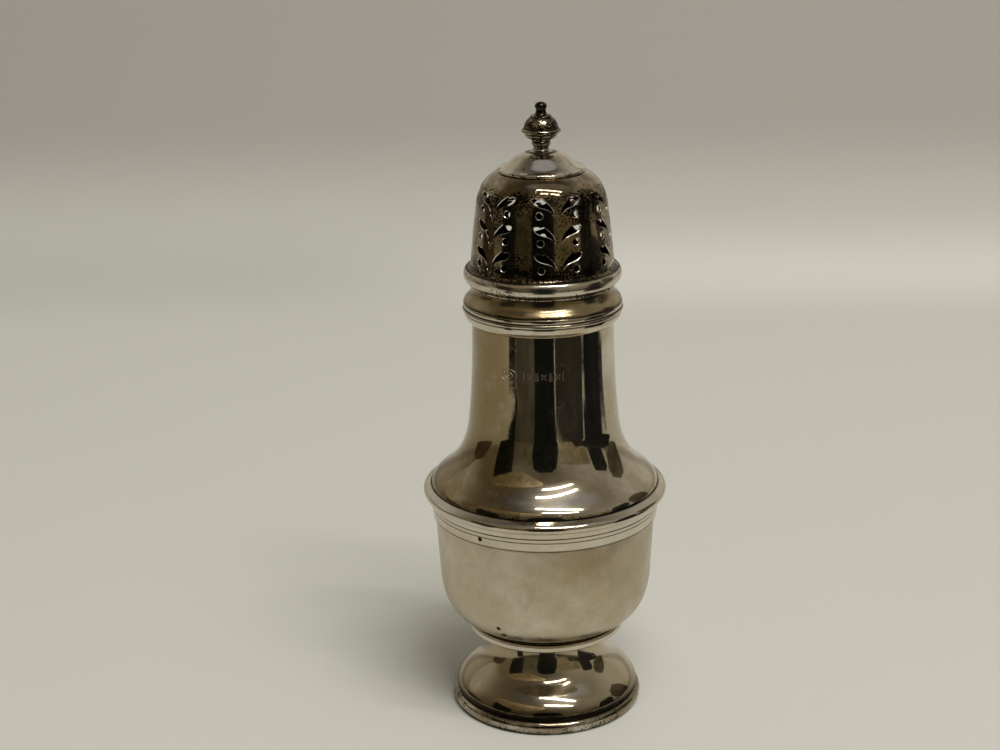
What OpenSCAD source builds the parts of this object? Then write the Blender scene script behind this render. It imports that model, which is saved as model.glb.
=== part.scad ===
// Sugar caster of baluster form: a vase-shaped body on a spreading foot and
// a push-on cover with a pierced dome and a turned finial.
// Millimetres, +Z up, standing on Z = 0 with the axis of turning on Z.

/* [Sheet and fits] */
// Thickness of the spun sheet of the body
body_sheet = 0.6; // [0.45:0.05:1]
// Thickness of the spun sheet of the cover
cover_sheet = 0.55; // [0.4:0.05:0.8]
// Radial running clearance of the bezel in the neck
bezel_clearance = 0.06; // [0.02:0.01:0.1]
// Gap that the solder fills between curved faces
solder_gap = 0.08; // [0.04:0.01:0.12]

/* [Foot] */
// Radius of the foot's rim wire at its widest
foot_rim_r = 25.9; // [24:0.1:29]
// Height of the rim wire
foot_rim_h = 3.5; // [2.5:0.1:4.5]
// How far the rim wire stands out beyond the spun foot
foot_rim_w = 1.5; // [1.2:0.1:2]
// Height of the foot's upper edge above the table
foot_h = 21.8; // [19:0.1:25]
// Radius of the foot at its narrowest
foot_neck_r = 16.4; // [14:0.1:17]
// Depth of the foot's narrowest part below its upper edge
foot_neck_drop = 2.3; // [1.8:0.1:3]
// How far the foot spreads again at its upper edge
foot_top_w = 2; // [1.6:0.1:2.6]
// Height of the wire between foot and bowl
collar_h = 2.2; // [1.8:0.1:3]
// How far that wire stands out beyond the foot's upper edge
collar_w = 3; // [2.4:0.1:3.6]

/* [Body] */
// Radius of the bowl at its upper edge
bowl_r = 29.4; // [26:0.1:33]
// Height of the bowl below the girdle
bowl_h = 31; // [26:0.5:38]
// Height of the reeded girdle
girdle_h = 8.6; // [7:0.1:10]
// How far the girdle stands out beyond the bowl
girdle_w = 3.1; // [2.4:0.1:4]
// Height of the upper body from the girdle to the mouth
neck_h = 48.7; // [42:0.1:56]
// Radius of the neck at the mouth
mouth_r = 18.55; // [17:0.05:20]
// Height of the wire round the mouth
mouth_wire_h = 3.8; // [3:0.1:4.8]
// How far that wire stands out beyond the neck
mouth_wire_w = 2.4; // [1.8:0.1:3]

/* [Cover] */
// How far the bezel reaches down into the neck
bezel_depth = 9; // [6:0.5:12]
// Thickness of the bezel
bezel_sheet = 0.55; // [0.4:0.05:0.8]
// Height of the reed at the cover's lower edge
cover_rim_h = 1.4; // [0.8:0.1:1.8]
// Height of the hollow moulding above it
skirt_h = 4.3; // [3.6:0.1:6]
// How far the hollow moulding flares at its lower edge
skirt_flare = 2; // [1.4:0.1:2.4]
// Height of the bold wire below the dome, with its reed
bead_h = 4.6; // [4:0.1:5.4]
// How far that wire stands out beyond the waist
bead_w = 2; // [1.4:0.1:2.6]
// Height of the pierced dome
dome_h = 24.8; // [23.5:0.1:30]
// How far the dome flares at its lower edge
dome_flare = 1.25; // [0.8:0.05:1.3]
// Radius of the opening edge that carries the cap
cap_r = 11.4; // [10.5:0.1:12.5]
// Height of the cap above the dome
cap_h = 4.9; // [4.2:0.1:6]
// Radius of the cap's flat top
cap_top_r = 3.6; // [3.3:0.1:4.4]

/* [Piercing] */
// Number of leaf panels round the dome
panel_count = 6; // [4:1:6]
// Turn of the first panel from the front
panel_turn = 13.5; // [0:0.5:60]
// Number of leaf pairs in a panel
row_count = 3; // [1:1:3]
// Height from one leaf pair to the next
row_pitch = 6.8; // [6:0.1:7]
// Height of the lowest leaf tail above the dome's lower edge
first_row = 3.2; // [2.5:0.1:3.6]
// Width of a leaf
leaf_w = 5.2; // [4:0.1:5.4]
// Height of a leaf
leaf_h = 4.1; // [3.2:0.1:4.4]
// Distance of a leaf's tail from the middle of its panel
leaf_gap = 1; // [0.7:0.1:1.4]
// Radius of a round hole
dot_r = 0.95; // [0.6:0.05:1.1]
// Distance of a round hole from the middle of its panel
dot_offset = 4.6; // [4.2:0.1:5]

/* [Finial] */
// Height of the spool at the finial's foot
stem_h = 2.55; // [2.3:0.05:3.4]
// Radius of the spool's foot
stem_r = 2.95; // [2.6:0.05:3.2]
// Height of the knop's lower half
cup_h = 2.25; // [2:0.05:2.8]
// Height of the knop's upper half
crown_h = 4.55; // [4:0.05:6]
// Radius of the knop at its widest
knop_r = 5; // [4.2:0.1:6]
// Height of the tip
tip_h = 3.35; // [2.8:0.05:4]
// Radius of the button at the tip
tip_r = 1.55; // [1.2:0.05:1.9]
// Radius of the tang that passes through the cap
tang_r = 1.2; // [0.9:0.05:1.5]
// Radial clearance of the tang in the cap
tang_clearance = 0.1; // [0.05:0.05:0.2]
// Width of the nut across its flats
nut_flats = 4.4; // [4:0.1:5]
// Height of the nut
nut_h = 1.6; // [1.2:0.1:2]
// Length of the tang below the nut
tang_tail = 0.6; // [0.3:0.1:1]

/* [Hidden] */
$fn = 96;
curve_steps = 9;
arc_steps = 10;
dot_sides = 24;

// Heights of the seams, from the table upwards
collar_z = foot_h;
bowl_z = collar_z + collar_h;
girdle_z = bowl_z + bowl_h;
shoulder_z = girdle_z + girdle_h;
mouth_z = shoulder_z + neck_h;
skirt_z = mouth_z + cover_rim_h;
bead_z = skirt_z + skirt_h;
dome_z = bead_z + bead_h;
cap_z = dome_z + dome_h;
finial_z = cap_z + cap_h;
cup_z = finial_z + stem_h;
crown_z = cup_z + cup_h;
tip_z = crown_z + crown_h;

// Small steps from one piece to the next
bowl_step = 1.4;
bowl_corner_w = 0.2;
bowl_corner_h = 1.8;
shoulder_step = 0.9;
rim_setback = 0.2;
dome_flare_h = 1.8;
cap_setback = 0.15;
cap_roll_r = 0.5;
cap_roll_step = 0.05;
overshoot = 1;

// Radii that follow from a neighbour
foot_edge_r = foot_rim_r - foot_rim_w;
foot_top_r = foot_neck_r + foot_top_w;
collar_r = foot_top_r + collar_w;
bowl_base_r = collar_r - bowl_step;
shoulder_r = bowl_r + shoulder_step;
neck_bore_r = mouth_r - body_sheet;
bezel_r = neck_bore_r - bezel_clearance;
waist_r = bezel_r + solder_gap + cover_sheet;
cover_rim_r = mouth_r + mouth_wire_w - rim_setback;
dome_foot_r = waist_r + dome_flare;
cap_edge_r = cap_r - cap_setback;
tang_hole_r = tang_r + tang_clearance;
nut_top_z = finial_z - cover_sheet;

silver = [0.78, 0.75, 0.69];
dark_silver = [0.62, 0.58, 0.5];

// A point part of the way from p to q, its radius and height shared apart
function at(p, q, s) = [p[0] + (q[0] - p[0]) * s[0], p[1] + (q[1] - p[1]) * s[1]];

function cubic(a, b, c, d, t) =
    a * pow(1 - t, 3) + b * 3 * t * pow(1 - t, 2) + c * 3 * t * t * (1 - t) + d * pow(t, 3);

function bezier(a, b, c, d) = [for (i = [0:curve_steps]) cubic(a, b, c, d, i / curve_steps)];

function tail(list) = [for (i = [1:len(list) - 1]) list[i]];

function reversed(list) = [for (i = [len(list) - 1:-1:0]) list[i]];

// A curve from p to q with its handles given as shares of the way between
function curve(p, q, h) = bezier(p, at(p, q, h[0]), at(p, q, h[1]), q);

// Two such curves that meet at the middle one of five handles
function double_curve(p, q, h) =
    let (m = at(p, q, h[2]))
    concat(bezier(p, at(p, q, h[0]), at(p, q, h[1]), m),
           tail(bezier(m, at(p, q, h[3]), at(p, q, h[4]), q)));

// Part of an ellipse about c, from one angle to another
function arc(c, rx, rz, from, to) =
    [for (i = [0:arc_steps]) let (a = from + (to - from) * i / arc_steps) c + [rx * cos(a), rz * sin(a)]];

// The profile moved inwards, square to itself, by a sheet's thickness
function inner(pts, t) =
    [for (i = [0:len(pts) - 1])
        let (a = pts[max(i - 1, 0)], b = pts[min(i + 1, len(pts) - 1)], d = (b - a) / norm(b - a))
        pts[i] + t * [-d[1], d[0]]];

// The same, with both ends kept level with the outside
function level_inner(pts, t) =
    let (in = inner(pts, t), n = len(pts) - 1)
    [for (i = [0:n]) i == 0 || i == n ? [pts[i][0] - t, pts[i][1]] : in[i]];

module turned(profile) rotate_extrude() polygon(profile);

module sheet(outside, t) turned(concat(outside, reversed(level_inner(outside, t))));

// Profiles of the spun pieces, from the bottom up
foot_neck = [foot_neck_r, foot_h - foot_neck_drop];
foot_line = concat(
    double_curve([foot_edge_r, foot_rim_h], foot_neck,
                 [[0, 0.138], [0.063, 0.211], [0.425, 0.4], [0.738, 0.563], [1, 0.738]]),
    tail(curve(foot_neck, [foot_top_r, foot_h], [[0, 0.5], [0.35, 0.9]])));
bowl_line = double_curve([bowl_base_r + bowl_corner_w, bowl_z + bowl_corner_h], [bowl_r, girdle_z],
                         [[0.66, 0.06], [0.875, 0.22], [0.908, 0.481], [0.946, 0.703], [0.978, 0.823]]);
neck_line = double_curve([shoulder_r, shoulder_z], [mouth_r, mouth_z],
                         [[0.06, 0.085], [0.7, 0.08], [0.87, 0.34], [0.965, 0.54], [1, 0.71]]);
skirt_line = curve([waist_r + skirt_flare, skirt_z], [waist_r, bead_z], [[0.02, 0.3], [0.98, 0.34]]);
dome_wall = [waist_r, dome_z + dome_flare_h];
dome_line = concat(
    curve([dome_foot_r, dome_z], dome_wall, [[0.75, 0.1], [1, 0.45]]),
    tail(double_curve(dome_wall, [cap_r, cap_z],
                      [[0.03, 0.08], [0.07, 0.29], [0.19, 0.55], [0.25, 0.76], [0.42, 0.925]])));
cap_line = curve([cap_edge_r - cap_roll_r / 2, cap_z + 2 * cap_roll_r - cap_roll_step], [cap_top_r, finial_z],
                 [[0.4, 0.1], [0.52, 0.98]]);

// Rim wire under the foot: a half-round bead over a flat bearing face
module foot_rim_wire() {
    ledge = 1;
    bore_r = foot_edge_r - body_sheet - ledge;
    round_h = foot_rim_h / 2;
    face_setback = 0.9;
    under_angle = -58;
    color(silver) turned(concat(
        [[bore_r, 0], [foot_rim_r - face_setback, 0]],
        arc([foot_edge_r, round_h], foot_rim_w, round_h, under_angle, 90),
        [[bore_r, foot_rim_h]]));
}

// Spun spreading foot, drawn in to a neck below the collar
module foot() {
    land = 1.2;
    inside = [for (p = level_inner(foot_line, body_sheet)) if (p[1] < foot_h) p];
    color(silver) turned(concat(foot_line, [[foot_top_r - land, foot_h]], reversed(inside)));
}

// Half-round wire that joins the foot to the bowl
module foot_collar() {
    ledge = 0.5;
    bore_r = foot_top_r - body_sheet - ledge;
    round_r = collar_h / 2;
    color(silver) turned(concat(
        [[bore_r, collar_z]],
        arc([collar_r - round_r, collar_z + round_r], round_r, round_r, -90, 90),
        [[bore_r, bowl_z]]));
}

// Spun bowl with its closed bottom and the upright edge behind the girdle
module bowl() {
    floor_z = bowl_z + body_sheet;
    floor_inset = 1.5;
    edge_r = bowl_r - body_sheet;
    inside = [for (p = inner(bowl_line, body_sheet)) if (p[1] < girdle_z && p[1] > floor_z) p];
    color(silver) turned(concat(
        [[0, bowl_z], [bowl_base_r, bowl_z]],
        bowl_line,
        [[bowl_r, shoulder_z], [edge_r, shoulder_z], [edge_r, girdle_z]],
        reversed(inside),
        [[bowl_base_r - floor_inset, floor_z], [0, floor_z]]));
}

// Drawn wire of two leaning bands below a bold half-round, over the seam of the body
module girdle_wire() {
    bore_r = bowl_r + solder_gap;
    lean = 0.4;
    groove = 0.3;
    groove_h = 0.2;
    low_share = 0.43;
    low_reach = 0.36;
    low_r = bowl_r + low_reach * girdle_w;
    low_z = girdle_z + low_share * girdle_h;
    high_share = 0.66;
    high_reach = 0.58;
    high_r = bowl_r + high_reach * girdle_w;
    high_z = girdle_z + high_share * girdle_h;
    bold_h = shoulder_z - high_z;
    bold_depth = 1.8;
    bold_angle = -60;
    bold_r = bowl_r + girdle_w;
    color(silver) turned(concat(
        [[bore_r, girdle_z], [low_r - lean, girdle_z]],
        [[low_r, low_z - groove_h], [low_r - groove, low_z], [high_r - lean, low_z + groove_h]],
        [[high_r, high_z - groove_h], [high_r - groove, high_z]],
        arc([bold_r - bold_depth, shoulder_z - bold_h / 2], bold_depth, bold_h / 2, bold_angle, 90),
        [[bore_r, shoulder_z]]));
}

// Spun upper body: shoulder and neck, with a straight bore for the bezel
module upper_body() {
    seat_inset = 0.1;
    seat_r = bowl_r - body_sheet + seat_inset;
    seat_h = 0.9;
    bore_margin = 3;
    bore_z = mouth_z - bezel_depth - bore_margin;
    inside = [for (p = inner(neck_line, body_sheet))
              if (p[1] > shoulder_z + seat_h && p[1] < bore_z && p[0] > neck_bore_r) p];
    color(silver) turned(concat(
        neck_line,
        [[neck_bore_r, mouth_z], [neck_bore_r, bore_z]],
        reversed(inside),
        [[seat_r, shoulder_z + seat_h], [seat_r, shoulder_z]]));
}

// Wire round the mouth: a splayed band under one reed
module mouth_wire() {
    neck_gap = 0.15;
    bore_r = mouth_r + neck_gap;
    edge_w = 0.3;
    low_z = mouth_z - mouth_wire_h;
    reed_h = 1.1;
    reed_depth = 0.45;
    reed_angle = -80;
    band_setback = 0.3;
    out_r = mouth_r + mouth_wire_w;
    color(silver) turned(concat(
        [[bore_r, low_z]],
        curve([bore_r + edge_w, low_z], [out_r - band_setback, mouth_z - reed_h], [[0.47, 0.15], [0.94, 0.5]]),
        arc([out_r - reed_depth, mouth_z - reed_h / 2], reed_depth, reed_h / 2, reed_angle, 90),
        [[bore_r, mouth_z]]));
}

// Sleeve that slides into the neck and holds the cover on
module bezel() {
    skirt_share = 0.75;
    tall = bezel_depth + cover_rim_h + skirt_h * skirt_share;
    color(silver) translate([0, 0, mouth_z - bezel_depth]) difference() {
        cylinder(h = tall, r = bezel_r);
        translate([0, 0, -overshoot]) cylinder(h = tall + 2 * overshoot, r = bezel_r - bezel_sheet);
    }
}

// Reed at the lower edge of the cover
module cover_rim_wire() {
    bore_r = bezel_r + solder_gap;
    reed_depth = 0.4;
    color(silver) turned(concat(
        [[bore_r, mouth_z]],
        arc([cover_rim_r - reed_depth, mouth_z + cover_rim_h / 2], reed_depth, cover_rim_h / 2, -90, 90),
        [[bore_r, skirt_z]]));
}

// Hollow moulding between the rim and the waist
module cover_skirt() color(silver) sheet(skirt_line, cover_sheet);

// Bold wire below the dome, with a fine reed under it
module cover_bead_wire() {
    bore_r = waist_r - cover_sheet;
    reed_r = 0.43;
    reed_setback = 0.2;
    depth = 1.5;
    under_angle = -85;
    top_angle = 59;
    round_h = (bead_h - 2 * reed_r) / (sin(top_angle) - sin(under_angle));
    round_z = dome_z - round_h * sin(top_angle);
    color(silver) turned(concat(
        [[bore_r, bead_z]],
        arc([waist_r + reed_setback, bead_z + reed_r], reed_r, reed_r, -90, 90),
        arc([waist_r + bead_w - depth, round_z], depth, round_h, under_angle, top_angle),
        [[bore_r, dome_z]]));
}

// Outline of one pierced leaf, its tail at the origin, leaning to +X
function leaf_outline() =
    let (size = [[leaf_w, 0], [0, leaf_h]], tip = [1, 0.91], notch = [0.66, 0.93], peak = [0.5, 1])
    [for (p = concat(
        bezier([0, 0], [0.17, 0.63], [0.88, 0.29], tip),
        [[0.93, 0.98], [0.8, 1], notch],
        [for (i = [0:curve_steps - 1]) cubic(peak, [0.23, 0.68], [-0.06, 0.39], [0, 0], i / curve_steps)]))
        p * size];

// Cuts through one wall of the dome only, square to the front
module cutter(turn, z) {
    reach = 8;
    rotate([0, 0, turn]) translate([0, -waist_r + reach / 2, z])
        rotate([90, 0, 0]) linear_extrude(reach) children();
}

// Panels of mirrored leaves with a round hole under each
module piercing() {
    degrees = 180 / (PI * waist_r);
    leaf_turn = (leaf_gap + leaf_w / 2) * degrees;
    for (p = [0:panel_count - 1], row = [0:row_count - 1], side = [-1, 1]) {
        middle = panel_turn + p * 360 / panel_count;
        z = dome_z + first_row + row * row_pitch;
        cutter(middle + side * leaf_turn, z)
            scale([side, 1]) translate([-leaf_w / 2, 0]) polygon(leaf_outline());
        cutter(middle + side * dot_offset * degrees, z) circle(dot_r, $fn = dot_sides);
    }
}

// Raised dome, pierced, with a turned-in ledge that carries the cap
module pierced_dome() {
    ledge_w = 1.6;
    ledge_r = cap_r - ledge_w;
    under_z = cap_z - cover_sheet;
    inside = [for (p = inner(dome_line, cover_sheet)) if (p[1] > dome_z && p[1] < under_z) p];
    color(dark_silver) difference() {
        turned(concat(
            dome_line,
            [[ledge_r, cap_z], [ledge_r, under_z]],
            reversed(inside),
            [[waist_r - cover_sheet, dome_z]]));
        piercing();
    }
}

// Cap over the opening of the dome, with a rolled edge and the hole for the tang
module dome_cap() {
    inside_r = cap_edge_r - 2 * cap_roll_r;
    roll_angle = 60;
    inside = [for (p = inner(cap_line, cover_sheet)) if (p[1] < nut_top_z && p[0] < inside_r) p];
    color(silver) turned(concat(
        arc([cap_edge_r - cap_roll_r, cap_z + cap_roll_r], cap_roll_r, cap_roll_r, -90, roll_angle),
        cap_line,
        [[tang_hole_r, finial_z], [tang_hole_r, nut_top_z], [cap_top_r - cover_sheet / 2, nut_top_z]],
        reversed(inside),
        [[inside_r, cap_z]]));
}

// Spool of the finial with the tang below it and a reed above
module finial_stem() {
    tang_z = nut_top_z - nut_h - tang_tail;
    edge_h = 0.2;
    waist_depth = 0.95;
    waist_h = 1.2;
    reed_r = 0.45;
    reed_w = 0.42;
    reed_setback = 0.85;
    color(silver) turned(concat(
        [[0, tang_z], [tang_r, tang_z], [tang_r, finial_z], [stem_r, finial_z]],
        curve([stem_r, finial_z + edge_h], [stem_r - waist_depth, finial_z + waist_h], [[0.8, 0.1], [1, 0.5]]),
        [[stem_r - waist_depth, cup_z - 2 * reed_r]],
        arc([stem_r - reed_setback, cup_z - reed_r], reed_w, reed_r, -90, 90),
        [[0, cup_z]]));
}

// Lower half of the knop: a cup with a reed round its edge
module finial_cup() {
    base_setback = 0.5;
    edge_setback = 1;
    reed_r = 0.4;
    reed_angle = -80;
    reed_setback = 1.15;
    color(silver) turned(concat(
        [[0, cup_z]],
        curve([stem_r - base_setback, cup_z], [knop_r - edge_setback, crown_z - 2 * reed_r],
              [[0.1, 0.45], [0.75, 0.6]]),
        arc([knop_r - reed_setback, crown_z - reed_r], reed_r, reed_r, reed_angle, 90),
        [[0, crown_z]]));
}

// Upper half of the knop: a bead round its edge below a domed crown with a fine ring on top
module finial_crown() {
    bead_r = 0.6;
    bead_angle = 80;
    base_r = knop_r - bead_r;
    ring_r = 0.3;
    ring_w = 0.8;
    ring_angle = -80;
    shelf_w = 1.3;
    color(dark_silver) turned(concat(
        [[0, crown_z]],
        arc([base_r, crown_z + bead_r], bead_r, bead_r, -90, bead_angle),
        curve([base_r, crown_z + 2 * bead_r], [tip_r + shelf_w, tip_z - 2 * ring_r], [[0.03, 0.4], [0.5, 0.86]]),
        arc([tip_r + ring_w, tip_z - ring_r], ring_r, ring_r, ring_angle, 90),
        [[0, tip_z]]));
}

// Button at the top, on a short waisted neck
module finial_tip() {
    base_w = 0.45;
    waist_depth = 0.25;
    waist_h = 1.25;
    button_h = 1.1;
    waist = [tip_r - waist_depth, tip_z + waist_h];
    button_z = tip_z + tip_h - button_h;
    color(dark_silver) turned(concat(
        [[0, tip_z]],
        curve([tip_r + base_w, tip_z], waist, [[0.75, 0.15], [1, 0.55]]),
        tail(curve(waist, [tip_r, button_z], [[0, 0.35], [1, 0.6]])),
        tail(arc([0, button_z], tip_r, button_h, 0, 90))));
}

// Nut that holds the tang from inside the cap
module finial_nut() {
    sides = 6;
    color(silver) translate([0, 0, nut_top_z - nut_h]) difference() {
        cylinder(h = nut_h, d = nut_flats / cos(180 / sides), $fn = sides);
        translate([0, 0, -overshoot]) cylinder(h = nut_h + 2 * overshoot, r = tang_hole_r);
    }
}

foot_rim_wire();
foot();
foot_collar();
bowl();
girdle_wire();
upper_body();
mouth_wire();
bezel();
cover_rim_wire();
cover_skirt();
cover_bead_wire();
pierced_dome();
dome_cap();
finial_stem();
finial_cup();
finial_crown();
finial_tip();
finial_nut();
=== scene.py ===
"""Looks of a silver sugar caster: turned mouldings, a pierced dome, old tarnish and some painted shade.

Lengths are millimetres until a mesh is made. Heights and outer radii come from the frame.
"""

import math

import bmesh
import bpy
from mathutils import Matrix, Vector


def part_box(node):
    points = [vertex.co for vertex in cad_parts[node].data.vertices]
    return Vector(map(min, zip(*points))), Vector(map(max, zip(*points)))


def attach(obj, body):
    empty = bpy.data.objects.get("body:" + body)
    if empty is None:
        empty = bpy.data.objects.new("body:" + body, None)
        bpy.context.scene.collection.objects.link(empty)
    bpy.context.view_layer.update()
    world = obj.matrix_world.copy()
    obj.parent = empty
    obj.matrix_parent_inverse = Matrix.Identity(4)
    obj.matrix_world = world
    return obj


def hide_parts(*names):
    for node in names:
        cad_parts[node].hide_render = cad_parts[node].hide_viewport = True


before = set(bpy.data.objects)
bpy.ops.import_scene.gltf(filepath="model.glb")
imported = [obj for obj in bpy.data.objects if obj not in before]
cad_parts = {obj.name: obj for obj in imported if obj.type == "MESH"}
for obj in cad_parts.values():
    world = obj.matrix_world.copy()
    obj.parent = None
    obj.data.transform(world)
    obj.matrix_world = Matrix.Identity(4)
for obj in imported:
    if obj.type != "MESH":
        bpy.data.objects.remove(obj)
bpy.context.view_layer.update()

MM = 0.001
FULL_TURN = 2 * math.pi
ROUND_STEPS = 256
DOME_STEPS = 360
KNOP_STEPS = 128
SMALL_STEPS = 96
CURVE_STEPS = 28
ARC_STEPS = 20
CORNER = math.radians(40)
CUT_CORNER = math.radians(25)
SOFT_EDGE = 0.07
FINE_EDGE = 0.03
WELD = 1e-7


# Heights and radii from the frame

def low(node):
    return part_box(node)[0].z / MM


def high(node):
    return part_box(node)[1].z / MM


def widest(node):
    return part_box(node)[1].x / MM


BODY_SHEET = 0.6
COVER_SHEET = 0.55
SOLDER_GAP = 0.08
MOUTH_R = 18.55
WAIST_R = 18.52
FOOT_NECK_R = 14.82
FOOT_TOP_R = 18.4
CAP_TOP_R = 3.6
TIP_R = 1.55


# Profiles: lists of (radius, height)

def points(*pairs):
    return [Vector(p) for p in pairs]


def between(p, q, share):
    return Vector((p[0] + (q[0] - p[0]) * share[0], p[1] + (q[1] - p[1]) * share[1]))


def cubic(a, b, c, d, t):
    s = 1 - t
    return a * s ** 3 + b * (3 * s * s * t) + c * (3 * s * t * t) + d * t ** 3


def bezier(a, b, c, d, steps=CURVE_STEPS):
    ends = points(a, b, c, d)
    return [cubic(*ends, i / steps) for i in range(steps + 1)]


def curve(p, q, handles):
    """A curve from p to q, its two handles given as shares of the way."""
    return bezier(p, between(p, q, handles[0]), between(p, q, handles[1]), q)


def double_curve(p, q, handles):
    """Two curves that meet at the middle one of five handles."""
    first, second, middle, third, fourth = [between(p, q, h) for h in handles]
    return bezier(p, first, second, middle) + bezier(middle, third, fourth, q)[1:]


def arc(centre, width, height, start, end):
    angles = [math.radians(start + (end - start) * i / ARC_STEPS) for i in range(ARC_STEPS + 1)]
    return [Vector((centre[0] + width * math.cos(a), centre[1] + height * math.sin(a))) for a in angles]


def inner(line, thickness):
    """The line moved inwards, square to itself, by a sheet's thickness."""
    moved = []
    for i, point in enumerate(line):
        along = (line[min(i + 1, len(line) - 1)] - line[max(i - 1, 0)]).normalized()
        moved.append(point + thickness * Vector((-along.y, along.x)))
    return moved


def level_inner(line, thickness):
    """The same, with both ends kept level with the outside."""
    moved = inner(line, thickness)
    moved[0] = line[0] - Vector((thickness, 0))
    moved[-1] = line[-1] - Vector((thickness, 0))
    return moved


def on_line(line, height):
    """Radius of a line at a height, with the direction that faces out of it there."""
    for a, b in zip(line, line[1:]):
        if a.y <= height <= b.y:
            break
    along = (b - a).normalized()
    share = (height - a.y) / (b.y - a.y)
    return a.x + (b.x - a.x) * share, Vector((along.y, -along.x))


# Meshes

def turned(profile, steps=ROUND_STEPS, soft_edge=SOFT_EDGE):
    """A closed profile turned about the axis, with its corners eased."""
    bm = bmesh.new()
    ring = [bm.verts.new((p[0] * MM, 0, p[1] * MM)) for p in profile]
    pairs = zip(ring, ring[1:] + ring[:1])
    edges = [bm.edges.new(pair) for pair in pairs if pair[0].co.x + pair[1].co.x > 0]
    bmesh.ops.spin(bm, geom=ring + edges, cent=(0, 0, 0), axis=(0, 0, 1), angle=FULL_TURN,
                   steps=steps, use_merge=True)
    bmesh.ops.remove_doubles(bm, verts=bm.verts, dist=WELD)
    bmesh.ops.recalc_face_normals(bm, faces=bm.faces)
    corners = [e for e in bm.edges if e.is_manifold and e.calc_face_angle(0) > CORNER]
    if soft_edge:
        bmesh.ops.bevel(bm, geom=corners, offset=soft_edge * MM, segments=3, profile=0.5,
                        affect="EDGES", material=-1, clamp_overlap=True)
    return bm


def make_object(name, bm):
    mesh = bpy.data.meshes.new(name)
    bm.to_mesh(mesh)
    bm.free()
    mesh.shade_smooth()
    mesh.set_sharp_from_angle(angle=CORNER)
    made = bpy.data.objects.new(name, mesh)
    bpy.context.collection.objects.link(made)
    return made


def even_shading(made):
    """Lets broad faces rule the shading, so that eased corners don't bend it."""
    weighted = made.modifiers.new("even_shading", "WEIGHTED_NORMAL")
    weighted.keep_sharp = True


# Shader maths

class Value:
    """A socket whose sums add Math nodes."""

    def __init__(self, finish, socket):
        self.finish = finish
        self.socket = socket

    def math(self, operation, *others):
        inputs = dict(enumerate((self, *others)))
        return self.finish.node("ShaderNodeMath", {"operation": operation}, inputs)

    def __add__(self, other):
        return self.math("ADD", other)

    def __mul__(self, other):
        return self.math("MULTIPLY", other)

    __radd__ = __add__

    def __sub__(self, other):
        return self.math("SUBTRACT", other)

    def __rsub__(self, other):
        return (self * -1) + other

    def __abs__(self):
        return self.math("ABSOLUTE")

    def ramp(self, start, end):
        """0 at start and 1 at end, eased."""
        settings = {"interpolation_type": "SMOOTHSTEP"}
        return self.finish.node("ShaderNodeMapRange", settings, {0: self, 1: start, 2: end})


class Nodes:
    """A node tree, with one method for any node and a few for the common ones."""

    def __init__(self, tree, place):
        self.tree = tree
        self.place = self.node("ShaderNodeTexCoord", output=place)

    def node(self, kind, settings=None, inputs=None, output=0):
        made = self.tree.nodes.new(kind)
        for key, value in (settings or {}).items():
            setattr(made, key, value)
        self.feed(made, inputs or {})
        return Value(self, made.outputs[output])

    def feed(self, made, inputs):
        for key, value in inputs.items():
            if isinstance(value, Value):
                self.tree.links.new(value.socket, made.inputs[key])
            else:
                made.inputs[key].default_value = value

    def split(self, vector):
        made = self.node("ShaderNodeSeparateXYZ", inputs={0: vector})
        return [Value(self, made.socket.node.outputs[i]) for i in range(3)]

    def noise(self, scale, detail=3.0, rough=0.55, place=None):
        inputs = {"Vector": place or self.place, "Scale": scale, "Detail": detail, "Roughness": rough}
        return self.node("ShaderNodeTexNoise", {}, inputs)

    def stretched(self, scale, turn=(0, 0, 0)):
        """The object's own place, turned and drawn out, for hairlines."""
        inputs = {"Vector": self.place, "Rotation": turn, "Scale": scale}
        return self.node("ShaderNodeMapping", {"vector_type": "TEXTURE"}, inputs)

    def blend(self, share, first, second):
        """A colour part of the way from the first to the second."""
        settings = {"data_type": "RGBA", "clamp_factor": True}
        return self.node("ShaderNodeMix", settings, {0: share, 6: first, 7: second}, output=2)

    def bump(self, height, distance):
        return self.node("ShaderNodeBump", {}, {"Strength": 1.0, "Distance": distance, "Height": height})


class Finish(Nodes):
    """A procedural material that starts from one principled shader."""

    def __init__(self, name):
        self.material = bpy.data.materials.new(name)
        self.material.use_nodes = True
        super().__init__(self.material.node_tree, "Object")
        self.shader = self.tree.nodes["Principled BSDF"]


def colour(red, green, blue):
    return (red, green, blue, 1.0)


CLEAN = colour(0.66, 0.605, 0.505)
WARM = colour(0.44, 0.36, 0.225)
GOLD = colour(0.28, 0.21, 0.11)
BROWN = colour(0.14, 0.10, 0.052)
BLACK = colour(0.010, 0.008, 0.006)
MIST_ROUGH = 0.17
DIRT_ROUGH = 0.3
RELIEF_DEPTH = 0.00001
SPECK = 0.36

# Scales of the noises, coarse to fine, and the turns of the drawn-out ones
BROAD = 70
CLOUDS = 160
CROWDS = 190
FINE = 420
MOTTLE = 2300
STREAKS = 11000
HAIRS = 16000
RUBBED = 26000
STREAK_TURN = (0.06, 0.1, 0)
HAIR_TURN = (0.3, 0.5, 0.9)


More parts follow.
